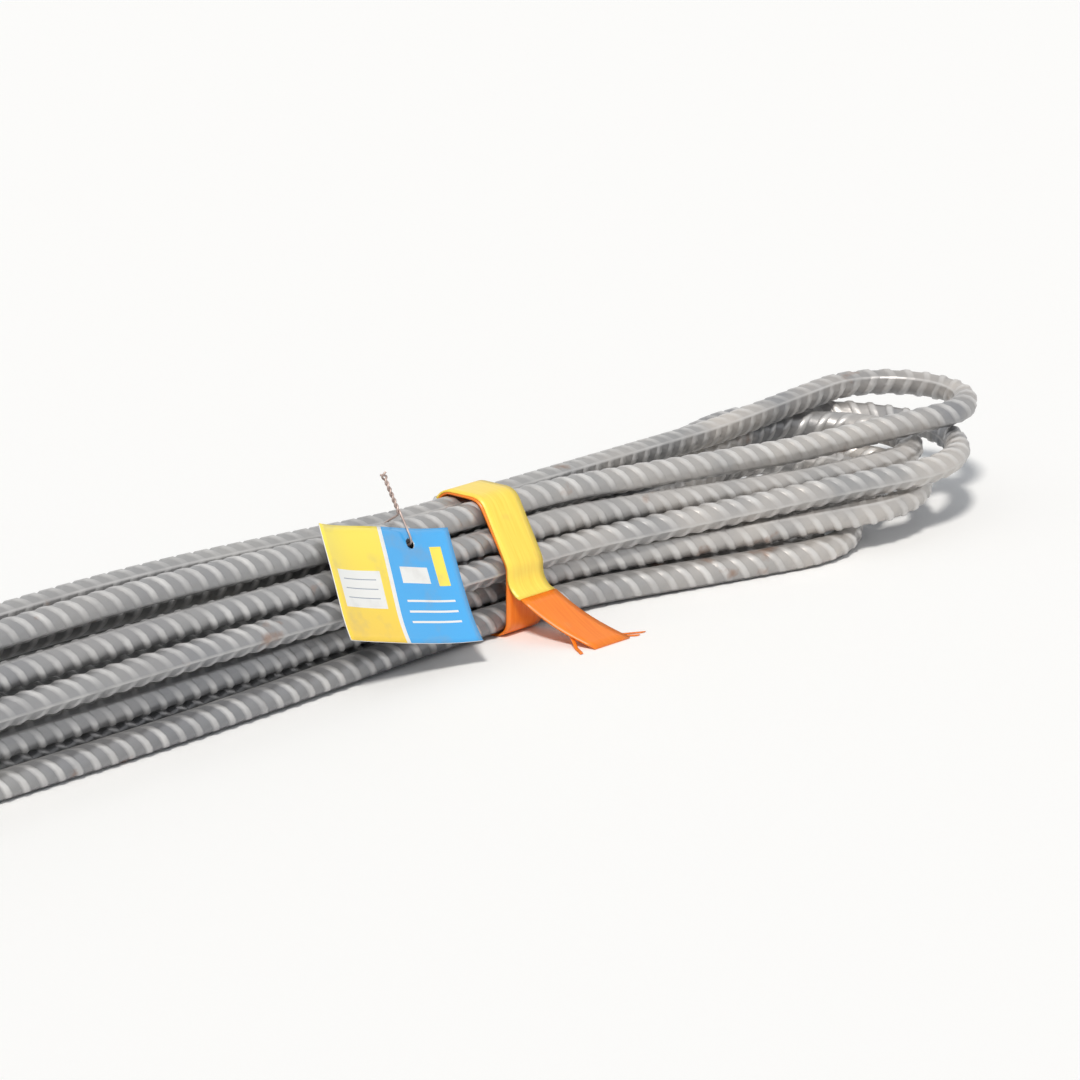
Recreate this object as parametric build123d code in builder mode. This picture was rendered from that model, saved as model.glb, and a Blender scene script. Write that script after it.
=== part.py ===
from math import asin, atan2, cos, hypot, pi, radians, sin, sqrt
import os

from build123d import *

os.makedirs("parts", exist_ok=True)

# Bars: nominal diameter, stock length, and the room that the ribs take up beside each bar
bar_diameter = 10.0
bar_length = 12000.0
rib_room = 0.8
floor_gap = 0.3

# The fold: radius of the topmost bar's bend, how far that bar reaches past the first strap, and over what
# run the bars pass from their rows in the strap to their layers in the fold
fold_radius = 30.0
fold_reach = 270.0
rise_run = 124.0
rise_margin = 18.0

# Straps: flat bands round the bundle, each joined by a crimped sleeve
strap_width = 19.0
strap_thickness = 0.8
strap_spacing = 1780.0
strap_clear = 2.5
peel_height = 24.0
tail_bend_radius = 8.0
tail_turn = 60.0
tail_shares = [1.0, 0.35, 0.6, 0.2]
seal_wall = 0.4
seal_play = 0.2

# Length over which a bar curves on each side of a corner in its run
flare_reach = 22.0
neck_reach = 18.0
rise_reach = 14.0
spread_reach = 50.0
strap_reach = 60.0
end_reach = 30.0

# Where the legs stand furthest apart behind the first strap
spread_distance = 170.0

# Tag and the wire that ties it to the topmost bar
tag_length = 62.0
tag_height = 45.0
tag_thickness = 0.6
tag_corner = 3.0
tag_turn = 15.0
tag_hole = 4.0
tag_hole_share = 0.7
tag_hole_margin = 6.0
tag_to_strap = 23.0
tag_gap = 0.5
wire_diameter = 0.8
wire_bend_radius = 2.5
wire_turn_radius = 1.5
wire_tail = 14.0
wire_tail_step = 1.0

# Each bar, from the floor up: its row and the distance of its legs from the middle plane in pitches, its
# layer in the fold, how much wider than the topmost bar's its bend is, how far its fold stays behind the
# foremost fold, how far it splays and lifts behind the first strap, how far its free ends splay, and how far
# its fold is from the middle of its length. In the fold the bars of one layer lie one inside another.
names = ("row", "lane", "layer", "wider", "setback", "splay", "lift", "end_splay", "off_middle")
bar_table = [
    (0, 0.5, 0, 3.0, 96.0, 1.5, 0.0, 2.0, 35.0),
    (0, 1.5, 0, 15.0, 80.0, 5.5, 0.0, 11.0, -60.0),
    (1, 1.0, 1, 19.5, 40.0, 3.8, 1.8, 6.0, 20.0),
    (2, 0.5, 1, 3.0, 58.0, 1.2, 4.0, 3.0, -25.0),
    (2, 1.5, 2, 22.0, 18.0, 6.2, 7.0, 13.0, 70.0),
    (3, 1.0, 2, 3.0, 36.0, 3.0, 6.6, 5.0, -45.0),
    (4, 0.5, 3, 0.0, 0.0, 1.8, 9.6, 2.5, 10.0),
]
bars = [dict(zip(names, values)) for values in bar_table]

# The bars at the corners of the stack
low_bar = bars[1]
side_bar = bars[4]
top_bar = bars[6]

bar_radius = bar_diameter / 2
pitch = bar_diameter + rib_room
row_rise = pitch * sqrt(3) / 2
strap_level = strap_thickness + rib_room + bar_radius
floor_level = floor_gap + bar_radius
strap_half = strap_width / 2
strap_places = [-strap_spacing * index for index in range(len(tail_shares))]
flare_place = strap_half + strap_clear + flare_reach
neck_place = -strap_half - strap_clear - neck_reach
gather_place = strap_places[1] + strap_half + strap_clear + strap_reach
end_place = strap_places[-1] - strap_half - strap_clear - end_reach
spread_place = -spread_distance


# Corners of one leg from its fold to its free end, with x counted from the first strap
def leg_corners(bar, side):
    offset = bar["lane"] * pitch
    level = strap_level + bar["row"] * row_rise
    fold_level = floor_level + bar["layer"] * pitch
    radius = fold_radius + bar["wider"]
    tip_place = fold_reach - bar["setback"]
    run = tip_place - radius - flare_place
    flare_angle = asin(radius / hypot(run, offset)) - atan2(offset, run)
    touch_run = sqrt(run**2 + offset**2 - radius**2)
    level_run = min(rise_run, touch_run - rise_margin)

    spread_offset = offset + bar["splay"]
    spread_level = floor_level + bar["row"] * row_rise + bar["lift"]

    def on_flare(distance):
        flared = offset + distance * sin(flare_angle)
        return flare_place + distance * cos(flare_angle), side * flared, fold_level

    tip = Vector(tip_place, 0, fold_level)
    corners = [
        Vector(*on_flare(touch_run)),
        Vector(*on_flare(level_run)),
        Vector(flare_place, side * offset, level),
        Vector(neck_place, side * offset, level),
        Vector(spread_place, side * spread_offset, spread_level),
        Vector(gather_place, side * offset, level),
        Vector(end_place, side * offset, level),
    ]
    half_fold = radius * (pi / 2 + flare_angle)
    drawn = half_fold + sum((after - before).length for before, after in zip(corners, corners[1:]))
    rest = bar_length / 2 + side * bar["off_middle"] - drawn
    end_run = sqrt(rest**2 - bar["end_splay"] ** 2)
    corners.append(corners[-1] + Vector(-end_run, side * bar["end_splay"], 0))
    return tip, corners


# Straight runs joined by tangent arcs, drawn in the line that is being built
def draw_run(corners, reaches):
    here = corners[0]
    for corner, after, reach in zip(corners[1:], corners[2:], reaches):
        inward = (corner - here).normalized()
        outward = (after - corner).normalized()
        Line(here, corner - inward * reach)
        TangentArc(corner - inward * reach, corner + outward * reach, tangent=inward)
        here = corner + outward * reach
    Line(here, corners[-1])


# The origin is under the middle of the bundle's length, so x is shifted from the first strap to there
free_ends = [leg_corners(bar, side)[1][-1].X for bar in bars for side in (1, -1)]
middle_place = (fold_reach + bar_radius + min(free_ends)) / 2
reaches = [rise_reach, flare_reach, neck_reach, spread_reach, strap_reach, end_reach]


def shifted(points):
    return [point - Vector(middle_place, 0, 0) for point in points]


# Folded bars
meeting_plane = Plane.YZ.offset(strap_places[0] - middle_place)
for number, bar in enumerate(bars, start=1):
    tip, right_leg = leg_corners(bar, -1)
    left_leg = leg_corners(bar, 1)[1]
    (tip,) = shifted([tip])
    right_leg = shifted(right_leg)
    left_leg = shifted(left_leg)
    with BuildLine() as axis:
        draw_run(right_leg[::-1], reaches[::-1])
        TangentArc(right_leg[0], tip, tangent=(right_leg[0] - right_leg[1]).normalized())
        TangentArc(tip, left_leg[0], tangent=(0, 1, 0))
        draw_run(left_leg, reaches)
    with BuildPart() as folded_bar:
        with BuildSketch(Plane(origin=axis.line @ 0, z_dir=axis.line % 0)):
            Circle(bar_radius)
        sweep(path=axis.line)

    # A rod is kept as its fold and its two legs, which meet under the middle of the first strap
    with BuildPart() as fold:
        add(folded_bar.part)
        split(bisect_by=meeting_plane, keep=Keep.TOP)
    with BuildPart() as legs:
        add(folded_bar.part)
        split(bisect_by=meeting_plane, keep=Keep.BOTTOM)
    near_leg, far_leg = legs.part.solids().sort_by(Axis.Y)
    for name, piece in (("fold", fold.part), ("near_leg", near_leg), ("far_leg", far_leg)):
        piece.label = f"bar_{number}_{name}"
        export_step(piece, f"parts/bar_{number}_{name}.step")


# A leg's place in the straps' tight stack, as y and z
def stack_place(row, lane):
    return lane * pitch, strap_level + row * row_rise


# A taut band's outline round the stack, standing off the ribs by a distance
def band_outline(distance):
    corner_bars = (low_bar, side_bar, top_bar)
    centres = [stack_place(bar["row"], side * bar["lane"]) for bar in corner_bars for side in (1, -1)]
    with BuildSketch() as outline:
        with Locations(*centres):
            Circle(bar_radius + rib_room + distance)
        make_hull()
    return outline.sketch


# Straps: one turn of the band, and over it the second layer, which runs from the sleeve on the far slope
# over the top and down the near side, where its tail bends away towards the floor
first_layer = strap_thickness
second_layer = 2 * strap_thickness
near_side = -(side_bar["lane"] * pitch + bar_radius + rib_room + (first_layer + second_layer) / 2)
stack_width = 2 * (side_bar["lane"] + 1) * pitch
stack_height = strap_level + (top_bar["row"] + 1) * row_rise
tail_angle = radians(tail_turn)
tail_fall = peel_height - floor_gap - (tail_bend_radius + strap_thickness / 2) * sin(tail_angle)
inner = band_outline(0)
middle = band_outline(first_layer)
outer = band_outline(second_layer)
for number, (strap_place, tail_share) in enumerate(zip(strap_places, tail_shares), start=1):
    place = strap_place - middle_place
    tail_length = tail_share * tail_fall / cos(tail_angle)
    with BuildPart() as strap:
        with BuildSketch(Plane.YZ.offset(place)):
            add(middle)
            add(inner, mode=Mode.SUBTRACT)
        extrude(amount=strap_half, both=True)
        with BuildSketch(Plane.YZ.offset(place)):
            add(outer)
            add(middle, mode=Mode.SUBTRACT)
            with Locations((0, peel_height)):
                Rectangle(stack_width, stack_height, align=(Align.CENTER, Align.MIN), mode=Mode.INTERSECT)
        extrude(amount=strap_half, both=True)
        with BuildSketch(Plane.YZ.offset(place)):
            with BuildLine():
                bend = JernArc((near_side, peel_height), (0, -1), tail_bend_radius, -tail_turn)
                Line(bend @ 1, (bend @ 1) + (bend % 1) * tail_length)
            trace(line_width=strap_thickness)
        extrude(amount=strap_half, both=True)
    strap.part.label = f"strap_{number}"
    export_step(strap.part, f"parts/strap_{number}.step")

    # Sleeve crimped over both layers, on the flat of the far slope between the top and the widest row
    slope_top = Vector(place, *stack_place(top_bar["row"], top_bar["lane"]))
    slope_foot = Vector(place, *stack_place(side_bar["row"], side_bar["lane"]))
    downhill = (slope_foot - slope_top).normalized()
    outward = Vector(1, 0, 0).cross(downhill)
    seat = (slope_top + slope_foot) / 2 + outward * (bar_radius + rib_room + strap_thickness)
    seal_length = (slope_foot - slope_top).length
    with BuildPart(Plane(origin=seat, x_dir=(1, 0, 0), z_dir=outward)) as seal:
        slot_width = strap_width + 2 * seal_play
        slot_height = 2 * (strap_thickness + seal_play)
        Box(slot_width + 2 * seal_wall, seal_length, slot_height + 2 * seal_wall)
        Box(slot_width, seal_length, slot_height, mode=Mode.SUBTRACT)
    seal.part.label = f"seal_{number}"
    export_step(seal.part, f"parts/seal_{number}.step")


# A bar's axis on the near side between the neck and the widest spread, at a distance behind the first strap
def near_leg_at(bar, distance):
    corners = shifted(leg_corners(bar, -1)[1])
    neck, spread = corners[3], corners[4]
    share = (distance + neck_place) / (neck_place - spread_place)
    return neck + (spread - neck) * share


# Tag: leans on the topmost bar and on the widest bar of the upper rows, turned about its hole
tag_start = strap_half + tag_to_strap
tag_end = tag_start + tag_length
top_far = near_leg_at(top_bar, tag_end)
top_near = near_leg_at(top_bar, tag_start)
side_far = near_leg_at(side_bar, tag_end)
lean = (top_near - top_far).cross(top_far - side_far).normalized()
level_edge = Vector(0, 0, 1).cross(lean).normalized()
tag_plane = Plane(origin=top_far + lean * (bar_radius + tag_gap), x_dir=level_edge, z_dir=lean)

# The wire's loop goes through the tag's hole and round the topmost bar, between it and the bars beside it
hole_distance = tag_end - tag_length * tag_hole_share
loop_centre = near_leg_at(top_bar, hole_distance)
uphill = (loop_centre - near_leg_at(side_bar, hole_distance)).normalized()
uphill = Vector(0, uphill.Y, uphill.Z).normalized()
away = Vector(1, 0, 0).cross(uphill)
loop_radius = bar_radius + tag_gap / 2 + wire_diameter / 2
hole_centre = tag_plane.to_local_coords(loop_centre - uphill * loop_radius)
middle_along = tag_length * (0.5 - tag_hole_share)
middle_across = tag_hole_margin - tag_height / 2
to_middle = Vector(middle_along, middle_across, 0).rotate(Axis.Z, -tag_turn)
tag_middle = Vector(hole_centre.X, hole_centre.Y, 0) + to_middle
with BuildPart() as tag:
    with BuildSketch(tag_plane):
        with Locations((tag_middle.X, tag_middle.Y)):
            tag_face = Rectangle(tag_length, tag_height, rotation=-tag_turn)
        fillet(tag_face.vertices(), radius=tag_corner)
        with Locations((hole_centre.X, hole_centre.Y)):
            Circle(tag_hole / 2, mode=Mode.SUBTRACT)
    extrude(amount=tag_thickness)
tag.part.label = "tag"
export_step(tag.part, "parts/tag.step")

front = bar_radius + tag_gap + tag_thickness + tag_gap / 2 + wire_diameter
tail_top = loop_radius + wire_turn_radius + wire_tail


# A point of the wire's loop: out from the bar and up the slope from the bar's axis
def on_loop(out, up):
    return loop_centre + away * out + uphill * up


with BuildLine() as wire_axis:
    Line(on_loop(front, tail_top), on_loop(front, wire_bend_radius - loop_radius))
    lower_bend = on_loop(front - wire_bend_radius, -loop_radius)
    TangentArc(on_loop(front, wire_bend_radius - loop_radius), lower_bend, tangent=uphill * -1)
    Line(lower_bend, on_loop(0, -loop_radius))
    ThreePointArc(on_loop(0, -loop_radius), on_loop(-loop_radius, 0), on_loop(0, loop_radius))
    turn_start = on_loop(front - wire_tail_step - wire_turn_radius, loop_radius)
    turn_end = on_loop(front - wire_tail_step, loop_radius + wire_turn_radius)
    Line(on_loop(0, loop_radius), turn_start)
    TangentArc(turn_start, turn_end, tangent=away)
    Line(turn_end, on_loop(front - wire_tail_step, tail_top))
with BuildPart() as tag_wire:
    with BuildSketch(Plane(origin=wire_axis.line @ 0, z_dir=wire_axis.line % 0)):
        Circle(wire_diameter / 2)
    sweep(path=wire_axis.line)
tag_wire.part.label = "tag_wire"
export_step(tag_wire.part, "parts/tag_wire.step")
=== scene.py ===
from math import asin, atan2, cos, hypot, pi, radians, sin, sqrt

import bmesh
import bpy
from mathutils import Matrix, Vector


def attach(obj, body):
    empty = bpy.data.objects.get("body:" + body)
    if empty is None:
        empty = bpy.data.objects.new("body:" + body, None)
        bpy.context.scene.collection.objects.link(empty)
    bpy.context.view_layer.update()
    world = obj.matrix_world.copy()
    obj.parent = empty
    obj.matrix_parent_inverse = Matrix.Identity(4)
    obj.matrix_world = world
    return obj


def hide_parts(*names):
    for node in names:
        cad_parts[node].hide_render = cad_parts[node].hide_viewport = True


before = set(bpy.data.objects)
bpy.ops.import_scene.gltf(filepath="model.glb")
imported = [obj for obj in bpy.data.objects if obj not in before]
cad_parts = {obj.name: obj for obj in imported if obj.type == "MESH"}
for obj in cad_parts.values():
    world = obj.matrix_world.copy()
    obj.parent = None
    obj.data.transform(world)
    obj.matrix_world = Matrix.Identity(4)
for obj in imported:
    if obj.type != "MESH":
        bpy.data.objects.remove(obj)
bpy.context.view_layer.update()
scene = bpy.context.scene

# Sizes that the pieces share, in metres, as the CAD part has them. Places are counted along the
# bars from the first strap, and the reaches are how far each corner of a leg is rounded.
stack = {
    "barRadius": 0.005,
    "barLength": 12.0,
    "ribRoom": 0.0008,
    "pitch": 0.0108,
    "strapLevel": 0.0066,
    "floorLevel": 0.0053,
    "foldRadius": 0.030,
    "foldReach": 0.270,
    "riseRun": 0.124,
    "riseMargin": 0.018,
    "flarePlace": 0.034,
    "neckPlace": -0.030,
    "spreadPlace": -0.170,
    "gatherPlace": -1.708,
    "endPlace": -5.382,
    "reaches": [0.014, 0.022, 0.018, 0.050, 0.060, 0.030],
    "strapSpacing": 1.78,
    "strapCount": 4,
}
rowRise = stack["pitch"] * sqrt(3) / 2

# Each bar from the floor up, as in the CAD part, and the degrees by which its ribs are turned
columns = (
    "row", "lane", "layer", "wider", "setback", "splay", "lift", "endSplay", "offMiddle", "turn",
)
barTable = [
    (0, 0.5, 0, 0.003, 0.096, 0.0015, 0.0, 0.002, 0.035, 20),
    (0, 1.5, 0, 0.015, 0.080, 0.0055, 0.0, 0.011, -0.060, 75),
    (1, 1.0, 1, 0.0195, 0.040, 0.0038, 0.0018, 0.006, 0.020, 128),
    (2, 0.5, 1, 0.003, 0.058, 0.0012, 0.004, 0.003, -0.025, 52),
    (2, 1.5, 2, 0.022, 0.018, 0.0062, 0.007, 0.013, 0.070, 8),
    (3, 1.0, 2, 0.003, 0.036, 0.003, 0.0066, 0.005, -0.045, 100),
    (4, 0.5, 3, 0.0, 0.0, 0.0018, 0.0096, 0.0025, 0.010, 36),
]
bars = [dict(zip(columns, values)) for values in barTable]
widestBar = bars[4]
topBar = bars[6]


# One leg's corners from its fold to its free end, with the fold's middle, radius and half turn
def legCorners(bar, side):
    offset = bar["lane"] * stack["pitch"]
    level = stack["strapLevel"] + bar["row"] * rowRise
    foldLevel = stack["floorLevel"] + bar["layer"] * stack["pitch"]
    radius = stack["foldRadius"] + bar["wider"]
    tipPlace = stack["foldReach"] - bar["setback"]
    run = tipPlace - radius - stack["flarePlace"]
    flareAngle = asin(radius / hypot(run, offset)) - atan2(offset, run)
    touchRun = sqrt(run**2 + offset**2 - radius**2)
    levelRun = min(stack["riseRun"], touchRun - stack["riseMargin"])

    def onFlare(distance):
        along = stack["flarePlace"] + distance * cos(flareAngle)
        return Vector((along, side * (offset + distance * sin(flareAngle)), foldLevel))

    spreadLevel = stack["floorLevel"] + bar["row"] * rowRise + bar["lift"]
    corners = [
        onFlare(touchRun),
        onFlare(levelRun),
        Vector((stack["flarePlace"], side * offset, level)),
        Vector((stack["neckPlace"], side * offset, level)),
        Vector((stack["spreadPlace"], side * (offset + bar["splay"]), spreadLevel)),
        Vector((stack["gatherPlace"], side * offset, level)),
        Vector((stack["endPlace"], side * offset, level)),
    ]
    halfFold = radius * (pi / 2 + flareAngle)
    drawn = halfFold + sum((after - before).length for before, after in zip(corners, corners[1:]))
    rest = stack["barLength"] / 2 + side * bar["offMiddle"] - drawn
    endRun = sqrt(rest**2 - bar["endSplay"] ** 2)
    corners.append(corners[-1] + Vector((-endRun, side * bar["endSplay"], 0)))
    centre = Vector((tipPlace - radius, 0, foldLevel))
    return corners, centre, radius, pi / 2 + flareAngle


freeEnds = [legCorners(bar, side)[0][-1].x for bar in bars for side in (1, -1)]
middlePlace = (stack["foldReach"] + stack["barRadius"] + min(freeEnds)) / 2
strapPlaces = [-stack["strapSpacing"] * index - middlePlace for index in range(stack["strapCount"])]

# How finely a bar's line is drawn round a corner, round the fold and along a straight run
course = {"cornerSteps": 4, "foldSteps": 44, "longestStep": 0.08}


# Points along straight runs whose corners are rounded, from the fold to the free end
def roundedRun(corners, reaches):
    points = [corners[0]]
    shares = [step / course["cornerSteps"] for step in range(course["cornerSteps"] + 1)]
    for corner, after, reach in zip(corners[1:], corners[2:], reaches):
        start = corner + (points[-1] - corner).normalized() * reach
        end = corner + (after - corner).normalized() * reach
        points += [start.lerp(corner, t).lerp(corner.lerp(end, t), t) for t in shares]
    points.append(corners[-1])
    fine = [points[0]]
    for point in points[1:]:
        steps = max(1, round((point - fine[-1]).length / course["longestStep"]))
        fine += [fine[-1].lerp(point, (step + 1) / steps) for step in range(steps)]
    return fine


# The bar's line from the free end of its near leg round the fold to the free end of its far leg
def barLine(bar):
    nearCorners, centre, radius, halfTurn = legCorners(bar, -1)
    farCorners = legCorners(bar, 1)[0]
    steps = course["foldSteps"]
    angles = [-halfTurn + 2 * halfTurn * step / steps for step in range(1, steps)]
    fold = [centre + Vector((cos(angle), sin(angle), 0)) * radius for angle in angles]
    near = roundedRun(nearCorners, stack["reaches"])
    far = roundedRun(farCorners, stack["reaches"])
    shift = Vector((middlePlace, 0, 0))
    return [point - shift for point in near[::-1] + fold + far]


def linkedObject(name, data):
    made = bpy.data.objects.new(name, data)
    scene.collection.objects.link(made)
    return made


def storedMesh(mesh, name):
    data = bpy.data.meshes.new(name)
    mesh.to_mesh(data)
    mesh.free()
    return data


def outwardMesh(mesh, name):
    mesh.normal_update()
    bmesh.ops.recalc_face_normals(mesh, faces=mesh.faces[:])
    return storedMesh(mesh, name)


# One mesh of several, each of which may be given one of the piece's materials by its number
def joinedMesh(name, parts, slots=None):
    joined = bmesh.new()
    for index, data in enumerate(parts):
        known = len(joined.faces)
        joined.from_mesh(data)
        bpy.data.meshes.remove(data)
        if slots:
            joined.faces.ensure_lookup_table()
            for face in joined.faces[known:]:
                face.material_index = slots[index]
    return storedMesh(joined, name)


# The object's mesh after its modifiers, with the object and its helpers removed
def appliedMesh(source, helpers=()):
    bpy.context.view_layer.update()
    depsgraph = bpy.context.evaluated_depsgraph_get()
    data = bpy.data.meshes.new_from_object(source.evaluated_get(depsgraph), depsgraph=depsgraph)
    for spent in (source, *helpers):
        bpy.data.objects.remove(spent)
    return data


# A smooth grid whose points are placed by their column and row
def placedGrid(mesh, columns, rows, place, withUvs=False):
    if withUvs:
        mesh.loops.layers.uv.new("print")
    bmesh.ops.create_grid(mesh, x_segments=columns, y_segments=rows, size=1, calc_uvs=withUvs)
    for vert in mesh.verts:
        column = round((vert.co.x + 1) / 2 * columns)
        row = round((vert.co.y + 1) / 2 * rows)
        vert.co = place(column, row)
    for face in mesh.faces:
        face.smooth = True
    mesh.normal_update()


def curveThrough(name, points, kind):
    data = bpy.data.curves.new(name, "CURVE")
    data.dimensions = "3D"
    spline = data.splines.new(kind)
    spline.points.add(len(points) - 1)
    for splinePoint, point in zip(spline.points, points):
        splinePoint.co = (*point, 1)
    return data, spline


def finished(name, data, materials, nodes):
    piece = linkedObject(name, data)
    for material in materials:
        data.materials.append(material)
    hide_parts(*nodes)
    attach(piece, "root")


# Nodes of a material, made by type and wired by name
def newMaterial(name):
    material = bpy.data.materials.new(name)
    material.use_nodes = True
    tree = material.node_tree
    return material, tree, tree.nodes["Principled BSDF"]


def addNode(tree, kind, **values):
    node = tree.nodes.new(kind)
    for key, value in values.items():
        if key in node.inputs:
            node.inputs[key].default_value = value
        else:
            setattr(node, key, value)
    return node


def connect(tree, value, socket):
    if isinstance(value, bpy.types.NodeSocket):
        tree.links.new(value, socket)
    elif socket.type == "RGBA":
        socket.default_value = (*value, 1)
    else:
        socket.default_value = value


def setShader(tree, shader, **values):
    for key, value in values.items():
        connect(tree, value, shader.inputs[key.replace("_", " ")])


def noiseNode(tree, scale, detail, stretch=(1, 1, 1)):
    place = addNode(tree, "ShaderNodeTexCoord")
    mapping = addNode(tree, "ShaderNodeMapping")
    mapping.inputs["Scale"].default_value = stretch
    noise = addNode(tree, "ShaderNodeTexNoise", Scale=scale, Detail=detail)
    tree.links.new(place.outputs["Object"], mapping.inputs["Vector"])
    tree.links.new(mapping.outputs["Vector"], noise.inputs["Vector"])
    return noise.outputs["Fac"]


def rampNode(tree, source, stops):
    ramp = addNode(tree, "ShaderNodeValToRGB")
    elements = ramp.color_ramp.elements
    while len(elements) < len(stops):
        elements.new(0.5)
    for element, (position, shade) in zip(elements, stops):
        element.position = position
        element.color = (*shade, 1)
    tree.links.new(source, ramp.inputs["Fac"])
    return ramp.outputs["Color"]


# Noise as grey patches: its scale and detail, where they start and are full, and the two greys
def patchNode(tree, scale, detail, start, full, dark=0, light=1):
    stops = [(start, (dark, dark, dark)), (full, (light, light, light))]
    return rampNode(tree, noiseNode(tree, scale, detail), stops)


def mixNode(tree, factor, first, second):
    mix = addNode(tree, "ShaderNodeMix", data_type="RGBA")
    connect(tree, factor, mix.inputs["Factor"])
    connect(tree, first, mix.inputs["A"])
    connect(tree, second, mix.inputs["B"])
    return mix.outputs["Result"]


def mathNode(tree, operation, first, second=0.0):
    node = addNode(tree, "ShaderNodeMath", operation=operation)
    connect(tree, first, node.inputs[0])
    connect(tree, second, node.inputs[1])
    return node.outputs["Value"]


def bumpNode(tree, height, strength, distance):
    bump = addNode(tree, "ShaderNodeBump", Strength=strength, Distance=distance)
    tree.links.new(height, bump.inputs["Height"])
    return bump.outputs["Normal"]


# The coordinates of a texture output, one by one
def partsNode(tree, source):
    parts = addNode(tree, "ShaderNodeSeparateXYZ")
    tree.links.new(source, parts.inputs["Vector"])
    return parts.outputs


def plainMaterial(name, shade, roughness):
    material, tree, shader = newMaterial(name)
    setShader(tree, shader, Base_Color=shade, Roughness=roughness)
    return material


# A metal whose colour wanders between two shades, each given at its level of the noise
def mottledMetal(name, scale, detail, stops, metallic, roughness):
    material, tree, shader = newMaterial(name)
    shade = rampNode(tree, noiseNode(tree, scale, detail), stops)
    setShader(tree, shader, Base_Color=shade, Metallic=metallic, Roughness=roughness)
    return material


# Bars: the ribs' shape is one pitch of steps along the bar with the rib's height at each, and the
# degrees round it. The fold and the near part of the legs, up to the fine length behind the first
# strap, have the finer shape, and a stretch runs on a little before and after a join, where it is
# then cut. A patch is given as patchNode takes it.
ribbedBar = {
    "core": 0.00468,
    "ribHeight": 0.00064,
    "ridgeHeight": 0.00050,
    "spacing": 0.0082,
    "slant": 0.0095,
    "fullness": 0.7,
    "fine": {
        "steps": [(0, 0), (0.14, 1), (0.36, 1), (0.50, 0), (1, 0)],
        "round": [0, 9, 31, 60, 90, 120, 149, 171, 180, 189, 211, 240, 270, 300, 329, 351],
    },
    "plain": {
        "steps": [(0, 0), (0.25, 1), (0.50, 0), (1, 0)],
        "round": [0, 36, 72, 108, 144, 180, 216, 252, 288, 324],
    },
    "fineLength": 0.62,
    "beforeJoin": 0.02,
    "afterJoin": 0.1,
    "millScale": [
        (0.35, (0.17, 0.175, 0.19)),
        (0.52, (0.27, 0.273, 0.285)),
        (0.7, (0.38, 0.377, 0.372)),
    ],
    "dust": (0.60, 0.56, 0.52),
    "dustPatch": (26.0, 6.0, 0.38, 0.68),
    "dustRun": (2.74, 2.94),
    "leastDust": 0.12,
    "addedDust": 0.72,
    # The crests' bright grey: partly rubbed metal, partly a painted highlight
    "wornRibAndHighlight": (0.80, 0.79, 0.78),
    "crestWearAndHighlightPatch": (70.0, 3.0, 0.3, 0.7, 0.25, 0.75),
    "rust": (0.26, 0.12, 0.055),
    "rustPatch": (60.0, 8.0, 0.66, 0.74),
    "mostRust": 0.6,
    "shinePatch": (40.0, 4.0, 0.3, 0.7, 0.3, 0.48),
    "metallic": 0.5,
    "cutShades": [(0.4, (0.36, 0.35, 0.34)), (0.65, (0.24, 0.15, 0.09))],
}


# Rolled steel: dark grey scale, dust that gathers towards the fold, ribs painted brighter at their
# crests, partly rubbed bright and partly a painted highlight, and a few rust spots
def barMaterial():
    material, tree, shader = newMaterial("rolledSteel")
    scale = rampNode(tree, noiseNode(tree, 9.0, 5.0, (0.5, 1, 1)), ribbedBar["millScale"])

    place = addNode(tree, "ShaderNodeTexCoord")
    towardsFold = addNode(tree, "ShaderNodeMapRange")
    dustStart, dustEnd = ribbedBar["dustRun"]
    towardsFold.inputs["From Min"].default_value = dustStart
    towardsFold.inputs["From Max"].default_value = dustEnd
    tree.links.new(partsNode(tree, place.outputs["Object"])["X"], towardsFold.inputs["Value"])
    dustShare = mathNode(tree, "MULTIPLY", towardsFold.outputs["Result"], ribbedBar["addedDust"])
    dustShare = mathNode(tree, "ADD", dustShare, ribbedBar["leastDust"])
    dustPatch = patchNode(tree, *ribbedBar["dustPatch"])
    dustShare = mathNode(tree, "MULTIPLY", dustPatch, dustShare)
    dusty = mixNode(tree, dustShare, scale, ribbedBar["dust"])

    # The ribs' crests get a brighter grey: partly rubbed bright, partly a painted highlight
    crest = addNode(tree, "ShaderNodeAttribute", attribute_name="crest")
    crestWearAndHighlight = patchNode(tree, *ribbedBar["crestWearAndHighlightPatch"])
    crestWearAndHighlightShare = mathNode(tree, "MULTIPLY", crest.outputs["Fac"], crestWearAndHighlight)
    wornAndHighlighted = mixNode(tree, crestWearAndHighlightShare, dusty, ribbedBar["wornRibAndHighlight"])
    rustPatch = patchNode(tree, *ribbedBar["rustPatch"])
    rustShare = mathNode(tree, "MULTIPLY", rustPatch, ribbedBar["mostRust"])
    rusty = mixNode(tree, rustShare, wornAndHighlighted, ribbedBar["rust"])

    setShader(
        tree,
        shader,
        Base_Color=rusty,
        Metallic=ribbedBar["metallic"],
        Roughness=patchNode(tree, *ribbedBar["shinePatch"]),
        Normal=bumpNode(tree, noiseNode(tree, 900.0, 3.0), 0.25, 0.0002),
    )
    return material


# How far along the bar a rib has come at an angle round it, which it runs up and down again
def ribShift(angle):
    swing = angle / pi
    return ribbedBar["slant"] * (min(swing, 2 - swing) - 0.5)


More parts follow.
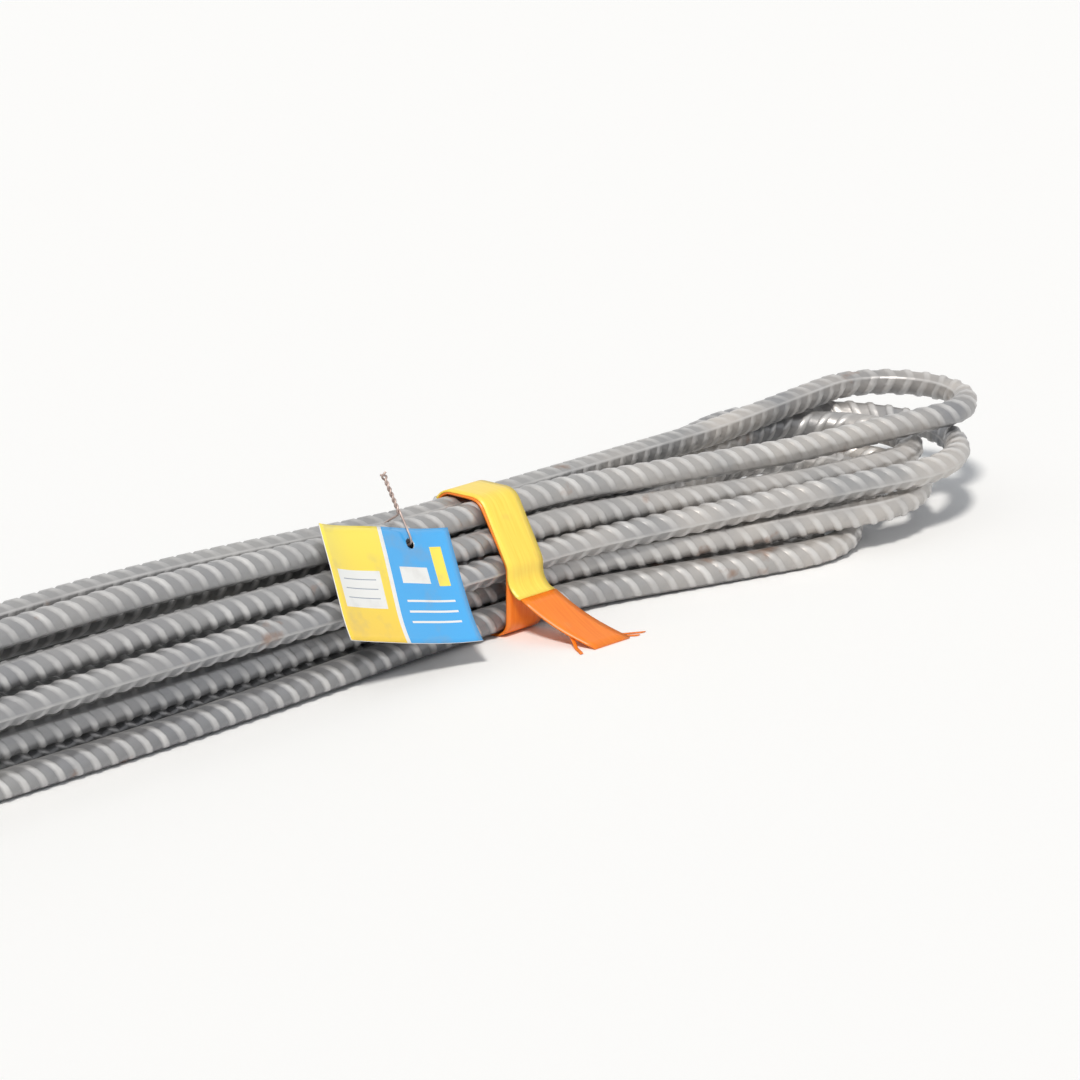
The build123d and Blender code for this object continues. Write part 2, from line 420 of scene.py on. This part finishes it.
def ribUnit(shape, turn):
    mesh = bmesh.new()
    crest = mesh.verts.layers.float.new("crest")

    def place(column, row):
        share, height = shape["steps"][column]
        turned = shape["round"][row % len(shape["round"])]
        angle = radians(turned)
        fullness = abs(sin(angle)) ** ribbedBar["fullness"]
        radius = ribbedBar["core"] + height * ribbedBar["ribHeight"] * fullness
        if turned in (0, 180):
            radius += ribbedBar["ridgeHeight"]
        along = share * ribbedBar["spacing"] + ribShift(angle)
        around = angle + radians(turn)
        return along, radius * cos(around), radius * sin(around)

    placedGrid(mesh, len(shape["steps"]) - 1, len(shape["round"]), place)
    bmesh.ops.remove_doubles(mesh, verts=mesh.verts[:], dist=0.00001)
    for vert in mesh.verts:
        risen = hypot(vert.co.y, vert.co.z) - ribbedBar["core"]
        vert[crest] = min(1, risen / ribbedBar["ribHeight"])

    # The edges at a rib's foot are sharp
    feet = [share * ribbedBar["spacing"] for share, height in shape["steps"] if height == 0]
    for edge in mesh.edges:
        angles = [(atan2(v.co.z, v.co.y) - radians(turn)) % (2 * pi) for v in edge.verts]
        places = [v.co.x - ribShift(angle) for v, angle in zip(edge.verts, angles)]
        if any(all(abs(reached - foot) < 0.0001 for reached in places) for foot in feet):
            edge.smooth = False
    return mesh


# The edges that a cut has left open at its plane
def openRim(mesh, place, outward):
    def offset(vert):
        return abs((vert.co - place).dot(outward))

    loose = [edge for edge in mesh.edges if edge.is_boundary]
    return [edge for edge in loose if max(map(offset, edge.verts)) < 1e-5]


# A stretch of ribbed bar between two distances along a curve, cut square and closed at the given
# planes, with a few ribs more at each end for the cuts to take off
def ribbedStretch(line, shape, turn, start, end, cuts):
    spacing = ribbedBar["spacing"]
    first = int(start / spacing) - 2
    mesh = ribUnit(ribbedBar[shape], turn)
    bmesh.ops.translate(mesh, verts=mesh.verts[:], vec=(first * spacing, 0, 0))
    stretch = linkedObject("stretch", outwardMesh(mesh, "stretch"))
    array = stretch.modifiers.new("ribs", "ARRAY")
    array.count = int(end / spacing) + 3 - first
    array.use_relative_offset = False
    array.use_constant_offset = True
    array.constant_offset_displace = (spacing, 0, 0)
    array.use_merge_vertices = True
    array.merge_threshold = 0.00005
    bend = stretch.modifiers.new("bend", "CURVE")
    bend.object = line
    data = appliedMesh(stretch)
    whole = bmesh.new()
    whole.from_mesh(data)
    bpy.data.meshes.remove(data)
    for place, outward, slot in cuts:
        geometry = whole.verts[:] + whole.edges[:] + whole.faces[:]
        bmesh.ops.bisect_plane(
            whole, geom=geometry, plane_co=place, plane_no=outward, clear_outer=True
        )
        rim = openRim(whole, place, outward)
        for cap in bmesh.ops.holes_fill(whole, edges=rim, sides=0)["faces"]:
            cap.material_index = slot
    return outwardMesh(whole, "stretch")


barMaterials = [
    barMaterial(),
    mottledMetal("shearedSteel", 300.0, 4.0, ribbedBar["cutShades"], 0.8, 0.42),
]
joinPlace = strapPlaces[0] - ribbedBar["fineLength"]
joinPoint = Vector((joinPlace, 0, 0))
alongBars = Vector((1, 0, 0))
for number, bar in enumerate(bars, start=1):
    points = barLine(bar)
    lineData = curveThrough("line", points, "POLY")[0]
    lineData.twist_mode = "Z_UP"
    line = linkedObject("line", lineData)
    joins = []
    travelled = 0
    for before, after in zip(points, points[1:]):
        if (before.x - joinPlace) * (after.x - joinPlace) < 0:
            joins.append(travelled)
        travelled += (after - before).length
    fineCut = (joinPoint, -alongBars, 0)
    plainCut = (joinPoint, alongBars, 0)
    nearEnd = (points[0], (points[0] - points[1]).normalized(), 1)
    farEnd = (points[-1], (points[-1] - points[-2]).normalized(), 1)
    nearJoin, farJoin = joins
    beforeJoin, afterJoin = ribbedBar["beforeJoin"], ribbedBar["afterJoin"]
    turn = bar["turn"]
    stretches = [
        ribbedStretch(line, "fine", turn, nearJoin - beforeJoin, farJoin + afterJoin, [fineCut]),
        ribbedStretch(line, "plain", turn, 0, nearJoin + afterJoin, [plainCut, nearEnd]),
        ribbedStretch(line, "plain", turn, farJoin - beforeJoin, travelled, [plainCut, farEnd]),
    ]
    bpy.data.objects.remove(line)
    wholeBar = joinedMesh(f"ribbedBar{number}", stretches)
    nodes = [f"bar_{number}_{part}" for part in ("fold", "near_leg", "far_leg")]
    finished(f"ribbedBar{number}", wholeBar, barMaterials, nodes)
    print("bar", number, "length", round(travelled, 4), "faces", len(wholeBar.polygons))

# Straps: the band round the stack, and its second layer from under the seal over the top to the
# loose tail, which past a crease keeps the strap's own orange and drifts along the bars. The second
# layer, up to the crease, is painted yellow as painted sunlight on the orange strap. How thick a
# layer is and how wide the second one is are shares of the band's. A strand is given by its place
# across the band, the shares of the tail where it leaves and lands, and how far it wanders.
band = {
    "width": 0.019,
    "thickness": 0.0008,
    "layerThickness": 0.96,
    "secondWidth": 0.99,
    "rows": 6,
    "lap": 0.012,
    "wander": 0.0004,
    "secondWander": 0.0005,
    "peelHeight": 0.024,
    "bendRadius": 0.008,
    "bendSteps": 6,
    "tailTurn": 60,
    "tailShares": [1.0, 0.35, 0.6, 0.2],
    "tailDrifts": [0.011, -0.002, 0.005, -0.001],
    "tailThickness": 0.9,
    "tailGap": 0.0008,
    "tailSink": 0.0004,
    "tailShift": 0.001,
    "tailSteps": 8,
    "crease": 0.05,
    "belly": 0.0013,
    "strandWidth": 0.0016,
    "strandThickness": 0.4,
    "strandSink": 0.0028,
    "strandRest": 0.0004,
    "strandSteps": 9,
    "strands": [(0.30, 0.45, 0.96, 0.020), (0.38, 0.55, 1.0, 0.013), (-0.30, 0.60, 1.0, -0.006)],
    # The yellow is painted sunlight on the orange strap, for its top layer
    "paintedSunlit": ((0.95, 0.67, 0.08), (0.98, 0.76, 0.12)),
    "orange": ((0.85, 0.19, 0.010), (0.93, 0.25, 0.018)),
    "scuffed": (0.62, 0.36, 0.14),
    "scuffPatch": (130.0, 7.0, 0.6, 0.76),
    "mostScuff": 0.2,
}


# Strapping: fine lines along the band and scuffs
def strapMaterial(name, shades):
    material, tree, shader = newMaterial(name)
    dark, bright = shades
    lines = noiseNode(tree, 1.0, 2.0, (1400, 60, 60))
    tone = rampNode(tree, lines, [(0.3, dark), (0.7, bright)])
    scuff = mathNode(tree, "MULTIPLY", patchNode(tree, *band["scuffPatch"]), band["mostScuff"])
    setShader(
        tree,
        shader,
        Base_Color=mixNode(tree, scuff, tone, band["scuffed"]),
        Roughness=0.38,
        Subsurface_Weight=0.08,
        Subsurface_Radius=(0.002, 0.0008, 0.0004),
        Normal=bumpNode(tree, lines, 0.12, 0.0001),
    )
    return material


def stackPlace(row, lane):
    return Vector((lane * stack["pitch"], stack["strapLevel"] + row * rowRise))


# The stack's corner bars from the near foot round by the far side, and the flat of the far slope,
# on which the seal sits
cornerBars = [(0, -1.5), (0, 1.5), (2, 1.5), (4, 0.5), (4, -0.5), (2, -1.5)]
hullCentres = [stackPlace(row, lane) for row, lane in cornerBars]
hullRadius = stack["barRadius"] + stack["ribRoom"]
slopeFoot, slopeHead = hullCentres[2:4]
slopeMiddle = (slopeFoot + slopeHead) / 2
slopeUp = (slopeHead - slopeFoot).normalized()
slopeOut = Vector((slopeUp.y, -slopeUp.x))


# Points round the hull at a distance from its circles' centres, starting at a corner
def hullPoints(radius, firstCorner, corners):
    points = []
    count = len(hullCentres)
    for index in range(firstCorner, firstCorner + corners):
        centre = hullCentres[index % count]
        before = centre - hullCentres[(index - 1) % count]
        after = hullCentres[(index + 1) % count] - centre
        startAngle = atan2(-before.x, before.y)
        sweep = (atan2(-after.x, after.y) - startAngle) % (2 * pi)
        steps = max(2, round(sweep / radians(11)))
        for step in range(steps + 1):
            angle = startAngle + sweep * step / steps
            points.append(centre + Vector((cos(angle), sin(angle))) * radius)
    return points


# How far a strap wanders along the bars at each of its points, in gentle waves that may fade out
def gentleDrift(points, amount, waves, phase, fade=0.0):
    lengths = [0.0]
    for before, after in zip(points, points[1:]):
        lengths.append(lengths[-1] + (after - before).length)
    shares = [length / lengths[-1] for length in lengths]
    return [amount * sin(2 * pi * waves * share + phase) * (1 - fade * share) for share in shares]


# A flat strip of strapping along points in the YZ plane, with a drift along the bars at each point
def strip(points, place, drifts, width, thickness, closed=False):
    mesh = bmesh.new()
    count = len(points)

    def put(column, row):
        share = row / band["rows"] - 0.5
        point = points[column % count]
        return place + drifts[column % count] + share * width, point.x, point.y

    placedGrid(mesh, count if closed else count - 1, band["rows"], put)
    if closed:
        bmesh.ops.remove_doubles(mesh, verts=mesh.verts[:], dist=0.000001)
    piece = linkedObject("strip", outwardMesh(mesh, "strip"))
    solid = piece.modifiers.new("solid", "SOLIDIFY")
    solid.thickness = thickness
    solid.offset = 0
    return appliedMesh(piece)


# The first material paints sunlight's yellow on the strap, the second is the strap's own orange
strapMaterials = [
    strapMaterial("paintedSunlitStrap", band["paintedSunlit"]),
    strapMaterial("orangeStrap", band["orange"]),
]
width = band["width"]
thickness = band["thickness"]
layer = thickness * band["layerThickness"]
firstRadius = hullRadius + thickness / 2
secondRadius = firstRadius + thickness
bendTurn = radians(band["tailTurn"])
heading = Vector((-sin(bendTurn), -cos(bendTurn)))
side = Vector((heading.y, -heading.x))
tails = zip(strapPlaces, band["tailShares"], band["tailDrifts"])
for number, (place, tailShare, tailDrift) in enumerate(tails, start=1):
    around = hullPoints(firstRadius, firstCorner=0, corners=len(hullCentres))
    drifts = gentleDrift(around, band["wander"], 2, number)
    layers = [strip(around, place, drifts, width, layer, closed=True)]

    over = [slopeMiddle - slopeUp * band["lap"] + slopeOut * secondRadius]
    over += hullPoints(secondRadius, firstCorner=3, corners=3)
    nearSide = over[-1].x
    over.append(Vector((nearSide, band["peelHeight"])))
    for step in range(1, band["bendSteps"] + 1):
        angle = bendTurn * step / band["bendSteps"]
        out = band["bendRadius"] * (1 - cos(angle))
        drop = band["bendRadius"] * sin(angle)
        over.append(Vector((nearSide - out, band["peelHeight"] - drop)))
    start = over[-1]
    tail = tailShare * (start.y - band["tailGap"]) / cos(bendTurn)
    drifts = gentleDrift(over, band["secondWander"], 1.5, 2 * number, 1.0)
    over.append(start + heading * tail * band["crease"])
    drifts.append(tailDrift * band["crease"])
    layers.append(strip(over, place, drifts, width * band["secondWidth"], layer))

    # The tail past its crease, which sags a little
    hanging = []
    drifts = []
    for step in range(band["tailSteps"] + 1):
        past = step / band["tailSteps"]
        share = band["crease"] + (1 - band["crease"]) * past
        sag = band["tailSink"] + band["belly"] * sin(pi * past)
        hanging.append(start + heading * tail * share - side * sag)
        drifts.append(tailDrift * share**1.2 + band["tailShift"] * tailShare)
    layers.append(strip(hanging, place, drifts, width, thickness * band["tailThickness"]))

    # Strands split off under a long tail, which drop to the floor and lie there past its side
    strands = band["strands"] if tailShare > 0.5 else []
    for edge, leave, land, wander in strands:
        leaving = start + heading * tail * leave - side * band["strandSink"]
        landing = start + heading * tail * land
        thread = []
        drifts = []
        for step in range(band["strandSteps"] + 1):
            share = step / band["strandSteps"]
            rise = max(leaving.y * (1 - 2.2 * share**1.5), band["strandRest"])
            thread.append(Vector((leaving.x + (landing.x - leaving.x) * share, rise)))
            drifts.append(edge * width + tailDrift * leave + wander * tailShare * share**1.4)
        strand = thickness * band["strandThickness"]
        layers.append(strip(thread, place, drifts, band["strandWidth"], strand))

    # Only the second layer gets the yellow of painted sunlight; the others keep the strap's orange
    slots = [0 if index == 1 else 1 for index in range(len(layers))]
    wholeStrap = joinedMesh(f"strapBand{number}", layers, slots)
    nodes = [f"strap_{number}"]
    finished(f"strapBand{number}", wholeStrap, strapMaterials, nodes)
print("straps")

# Seals: sheet sleeves over both layers, pressed in along two crimps and raised at the crimps' ends.
# Places and sizes of the crimps are shares of the sleeve.
seal = {
    "width": 0.0208,
    "height": 0.0028,
    "wall": 0.0004,
    "cuts": 11,
    "crimpPlace": 0.25,
    "crimpReach": 0.09,
    "endPlace": 0.30,
    "endReach": 0.20,
    "narrowed": 0.03,
    "raised": 0.5,
    "pressed": 0.38,
    "shades": [(0.35, (0.50, 0.51, 0.52)), (0.7, (0.68, 0.69, 0.69))],
}
zincSeal = mottledMetal("zincSeal", 220.0, 4.0, seal["shades"], 0.5, 0.36)
sealLength = (slopeHead - slopeFoot).length
sealSeat = slopeMiddle + slopeOut * (hullRadius + thickness)
sealUp = Vector((0, slopeUp.x, slopeUp.y))
sealOut = Vector((0, slopeOut.x, slopeOut.y))
for number, place in enumerate(strapPlaces, start=1):
    origin = Vector((place, sealSeat.x, sealSeat.y))
    mesh = bmesh.new()
    bmesh.ops.create_cube(mesh, size=1)
    bmesh.ops.subdivide_edges(mesh, edges=mesh.edges[:], cuts=seal["cuts"], use_grid_fill=True)
    openEnds = [face for face in mesh.faces if abs(face.calc_center_median().y) > 0.49]
    bmesh.ops.delete(mesh, geom=openEnds, context="FACES")
    for vert in mesh.verts:
        across, along, upward = vert.co
        crimp = max(0, 1 - abs(abs(along) - seal["crimpPlace"]) / seal["crimpReach"])
        edge = max(0, (abs(across) - seal["endPlace"]) / seal["endReach"])
        across *= 1 - seal["narrowed"] * crimp * edge
        if upward > 0:
            upward *= 1 + crimp * (seal["raised"] * edge - seal["pressed"] * (1 - edge))
        seated = origin + alongBars * across * seal["width"]
        seated += sealUp * along * sealLength
        vert.co = seated + sealOut * upward * seal["height"]
    for face in mesh.faces:
        face.smooth = True
    body = linkedObject("sealBody", outwardMesh(mesh, "sealBody"))
    wall = body.modifiers.new("wall", "SOLIDIFY")
    wall.thickness = seal["wall"]
    wall.offset = -1
    soften = body.modifiers.new("soften", "BEVEL")
    soften.width = 0.00018
    soften.segments = 2
    soften.limit_method = "ANGLE"
    sleeve = appliedMesh(body)
    finished(f"crimpedSeal{number}", sleeve, [zincSeal], [f"seal_{number}"])
print("seals")


# The near leg's line between the neck and its widest place, at a distance behind the first strap
def nearLegAt(bar, distance):
    corners = legCorners(bar, -1)[0]
    neck, spread = corners[3], corners[4]
    share = (distance + stack["neckPlace"]) / (stack["neckPlace"] - stack["spreadPlace"])
    return neck + (spread - neck) * share - Vector((middlePlace, 0, 0))


# Tag: a thin printed sheet that leans on two bars. Its room is the sheet's thickness in the CAD
# part. A curl is given by how far it rises and over what share of the sheet. The print is given in
# shares of the sheet, each panel by its left, right, low and high edge and its shade, over a warm
# panel at the left and the blue ground.
white = (0.83, 0.84, 0.83)
yellow = (0.95, 0.78, 0.09)
ruled = (0.30, 0.34, 0.42)
tag = {
    "length": 0.062,
    "height": 0.045,
    "thickness": 0.0004,
    "room": 0.0006,
    "gap": 0.0005,
    "turn": 15,
    "hole": 0.004,
    "holeShare": 0.7,
    "holeMargin": 0.006,
    "toStrap": 0.023,
    "columns": 24,
    "rows": 20,
    "rightCurl": (0.0036, 0.28),
    "leftCurl": (0.0016, 0.25),
    "lowCurl": (0.0014, 0.3),
    "ripple": 0.00035,
    "ground": (0.05, 0.40, 0.85),
    "warm": [(0.1, (0.94, 0.64, 0.05)), (0.9, yellow)],
    "warmShare": 0.46,
    "panels": [
        (0.46, 0.49, -1, 2, white),
        (0.06, 0.40, 0.30, 0.62, white),
        *[(0.10, 0.36, low, low + 0.008, ruled) for low in (0.38, 0.46, 0.54)],
        *[(0.56, 0.92, low, low + 0.018, white) for low in (0.18, 0.27, 0.36)],
        (0.84, 0.92, 0.50, 0.84, yellow),
        (0.56, 0.78, 0.52, 0.66, white),
    ],
    "dirt": (0.30, 0.27, 0.24),
    "dirtPatch": (90.0, 7.0, 0.55, 0.8),
    "mostDirt": 0.35,
}


# The tag's face: a yellow panel with a ruled white field, a white rule, and a blue panel with white
# lines, a white block and a yellow bar
def tagMaterial():
    material, tree, shader = newMaterial("tagFace")
    uvNode = addNode(tree, "ShaderNodeUVMap", uv_map="print")
    parts = partsNode(tree, uvNode.outputs["UV"])
    across, upward = parts["X"], parts["Y"]

    def panel(left, right, low, high):
        inside = mathNode(tree, "GREATER_THAN", across, left)
        for test, source, edge in (
            ("LESS_THAN", across, right),
            ("GREATER_THAN", upward, low),
            ("LESS_THAN", upward, high),
        ):
            inside = mathNode(tree, "MULTIPLY", inside, mathNode(tree, test, source, edge))
        return inside

    warm = rampNode(tree, upward, tag["warm"])
    shade = mixNode(tree, panel(-1, tag["warmShare"], -1, 2), tag["ground"], warm)
    for left, right, low, high, printed in tag["panels"]:
        shade = mixNode(tree, panel(left, right, low, high), shade, printed)
    dirtShare = mathNode(tree, "MULTIPLY", patchNode(tree, *tag["dirtPatch"]), tag["mostDirt"])
    setShader(
        tree,
        shader,
        Base_Color=mixNode(tree, dirtShare, shade, tag["dirt"]),
        Roughness=0.2,
        Coat_Weight=0.6,
        Coat_Roughness=0.08,
    )
    return material


# The tag leans on the topmost bar's near leg and the widest bar's, and its hole is where the wire's
# loop round the topmost bar comes out
tagStart = band["width"] / 2 + tag["toStrap"]
tagEnd = tagStart + tag["length"]
topFar = nearLegAt(topBar, tagEnd)
topNear = nearLegAt(topBar, tagStart)
sideFar = nearLegAt(widestBar, tagEnd)
lean = (topNear - topFar).cross(topFar - sideFar).normalized()
tagAcross = Vector((0, 0, 1)).cross(lean).normalized()
tagUp = lean.cross(tagAcross).normalized()
tagOrigin = topFar + lean * (stack["barRadius"] + tag["gap"])
wire = {
    "thickness": 0.0008,
    "tail": 0.0155,
    "turns": 3.5,
    "twistSteps": 35,
    "twistRadius": 0.00045,
    "splay": 0.0012,
    "splayShare": 0.14,
    "shades": [(0.4, (0.40, 0.31, 0.28)), (0.7, (0.58, 0.47, 0.43))],
}
ring = stack["barRadius"] + tag["gap"] / 2 + wire["thickness"] / 2
holeDistance = tagEnd - tag["length"] * tag["holeShare"]
loopCentre = nearLegAt(topBar, holeDistance)
uphill = loopCentre - nearLegAt(widestBar, holeDistance)
uphill = Vector((0, uphill.y, uphill.z)).normalized()
away = alongBars.cross(uphill)
holeCentre = loopCentre - uphill * ring
fromOrigin = holeCentre - tagOrigin
holeSeat = tagOrigin + tagAcross * fromOrigin.dot(tagAcross) + tagUp * fromOrigin.dot(tagUp)
tagTurn = radians(tag["turn"])
alongTag = tagAcross * cos(tagTurn) - tagUp * sin(tagTurn)
upTag = tagAcross * sin(tagTurn) + tagUp * cos(tagTurn)


def curled(curl, fromEdge):
    height, reach = curl
    return height * (max(0, reach - fromEdge) / reach) ** 2


def onTag(column, row):
    across, upward = column / tag["columns"], row / tag["rows"]
    along = (across - tag["holeShare"]) * tag["length"]
    up = tag["holeMargin"] - (1 - upward) * tag["height"]
    rise = curled(tag["rightCurl"], 1 - across) * (1 - 0.5 * upward)
    rise += curled(tag["leftCurl"], across) + curled(tag["lowCurl"], upward)
    rise += tag["ripple"] * (1 + sin(9 * across + 4 * upward))
    return holeSeat + alongTag * along + upTag * up + lean * rise


mesh = bmesh.new()
placedGrid(mesh, tag["columns"], tag["rows"], onTag, withUvs=True)
sheetData = storedMesh(mesh, "tagSheet")
sheetData.materials.append(tagMaterial())
sheetData.materials.append(plainMaterial("tagBack", (0.78, 0.78, 0.76), 0.35))
sheet = linkedObject("tagSheet", sheetData)
solid = sheet.modifiers.new("solid", "SOLIDIFY")
solid.thickness = tag["thickness"]
solid.offset = -1
solid.material_offset = 1
solid.material_offset_rim = 1
mesh = bmesh.new()
bmesh.ops.create_cone(
    mesh,
    cap_ends=True,
    segments=24,
    radius1=tag["hole"] / 2,
    radius2=tag["hole"] / 2,
    depth=0.02,
    matrix=lean.to_track_quat("Z", "Y").to_matrix().to_4x4(),
)
bmesh.ops.translate(mesh, verts=mesh.verts[:], vec=holeCentre)
for face in mesh.faces:
    face.material_index = 1  # the hole's wall shows the bare sheet
cutter = linkedObject("cutter", outwardMesh(mesh, "cutter"))
pierce = sheet.modifiers.new("pierce", "BOOLEAN")
pierce.object = cutter
pierce.solver = "EXACT"
tagData = appliedMesh(sheet, [cutter])
finished("printedTag", tagData, [], ["tag"])
print("tag", len(tagData.polygons))


# Wire: through the tag's hole, round the topmost bar and twisted on itself. A place on it is given
# by how far it is out from the bar's line, up the slope and along the bar.
def onLoop(out, up, along=0.0):
    return loopCentre + away * out + uphill * up + Vector((along, 0, 0))


sheetFront = stack["barRadius"] + tag["gap"] + tag["room"]
front = sheetFront + tag["gap"] / 2 + wire["thickness"] + wire["thickness"] / 2
twistMiddle = front - 0.0006
twistStart = ring + wire["thickness"] / 2


def twisted(phase):
    points = []
    for step in range(wire["twistSteps"] + 1):
        share = step / wire["twistSteps"]
        angle = 2 * pi * wire["turns"] * share + phase
        splayed = max(0, share - 1 + wire["splayShare"]) / wire["splayShare"]
        radius = wire["twistRadius"] + wire["splay"] * splayed
        up = twistStart + wire["tail"] * share
        points.append(onLoop(twistMiddle + radius * cos(angle), up, radius * sin(angle)))
    return points


throughHole = [
    (front, ring * 0.4),
    (front, -ring * 0.6),
    (front - 0.0006, -ring * 0.98),
    (front - 0.0026, -ring),
    (0.0012, -ring),
]
roundBar = [(-ring * sin(angle), -ring * cos(angle)) for angle in map(radians, range(15, 180, 15))]
backToFront = [(0.001, ring), (front - 0.0022, ring)]
loop = [onLoop(out, up) for out, up in throughHole + roundBar + backToFront]
wireData, wireSpline = curveThrough("tieWire", twisted(0)[::-1] + loop + twisted(pi), "NURBS")
wireData.bevel_depth = wire["thickness"] / 2
wireData.bevel_resolution = 3
wireData.use_fill_caps = True
wireSpline.order_u = 3
wireSpline.use_endpoint_u = True
wireSpline.resolution_u = 3
wireMesh = appliedMesh(linkedObject("tieWire", wireData))
annealedWire = mottledMetal("annealedWire", 260.0, 3.0, wire["shades"], 0.7, 0.45)
finished("twistedWire", wireMesh, [annealedWire], ["tag_wire"])
print("wire", len(wireMesh.polygons))

# Floor and light: a pale floor, a soft-edged sun, and a sky that the camera, gloss and glass see
# as plain white
studio = {
    "floorSize": 40,
    "floorShade": (0.965, 0.97, 0.975),
    "sky": [(0.0, (0.55, 0.55, 0.55)), (0.25, (0.72, 0.75, 0.80)), (1.0, (0.95, 0.98, 1.0))],
    "skyStrength": 0.48,
    "sunStrength": 2.5,
    "sunWidth": 9,
    "sunShade": (1.0, 0.96, 0.90),
    "sunHeading": (0.62, 0.42, -0.85),
}
mesh = bmesh.new()
bmesh.ops.create_grid(mesh, x_segments=1, y_segments=1, size=studio["floorSize"])
floor = linkedObject("paleFloor", outwardMesh(mesh, "paleFloor"))
floor.data.materials.append(plainMaterial("paleGround", studio["floorShade"], 0.9))

world = bpy.data.worlds.new("sky")
scene.world = world
world.use_nodes = True
sky = world.node_tree
background = sky.nodes["Background"]
skyPlace = addNode(sky, "ShaderNodeTexCoord")
skyHeight = partsNode(sky, skyPlace.outputs["Generated"])["Z"]
sky.links.new(rampNode(sky, skyHeight, studio["sky"]), background.inputs["Color"])
background.inputs["Strength"].default_value = studio["skyStrength"]
seen = addNode(sky, "ShaderNodeBackground", Strength=1.0, Color=(1, 1, 1, 1))
rays = addNode(sky, "ShaderNodeLightPath").outputs
seenRays = mathNode(sky, "MAXIMUM", rays["Is Camera Ray"], rays["Is Glossy Ray"])
seenRays = mathNode(sky, "MAXIMUM", seenRays, rays["Is Transmission Ray"])
choice = addNode(sky, "ShaderNodeMixShader")
sky.links.new(seenRays, choice.inputs["Fac"])
sky.links.new(background.outputs["Background"], choice.inputs[1])
sky.links.new(seen.outputs["Background"], choice.inputs[2])
sky.links.new(choice.outputs["Shader"], sky.nodes["World Output"].inputs["Surface"])

sunData = bpy.data.lights.new("sun", "SUN")
sunData.energy = studio["sunStrength"]
sunData.angle = radians(studio["sunWidth"])
sunData.color = studio["sunShade"]
sun = linkedObject("sun", sunData)
sun.rotation_euler = Vector(studio["sunHeading"]).to_track_quat("-Z", "Y").to_euler()

# Camera: the photograph's view, from far off, as wide as the given width at the target
view = {
    "azimuth": -48,
    "elevation": 16,
    "target": (2.812, -0.004, 0.026),
    "distance": 2.2,
    "width": 0.40,
}
azimuth = radians(view["azimuth"])
elevation = radians(view["elevation"])
level = cos(elevation)
looking = Vector((-sin(azimuth) * level, cos(azimuth) * level, -sin(elevation)))
cameraData = bpy.data.cameras.new("camera")
cameraData.lens = cameraData.sensor_width * view["distance"] / view["width"]
cameraData.clip_start = 0.05
camera = linkedObject("camera", cameraData)
camera.location = Vector(view["target"]) - looking * view["distance"]
camera.rotation_euler = looking.to_track_quat("-Z", "Y").to_euler()
scene.camera = camera
scene.view_settings.view_transform = "Standard"
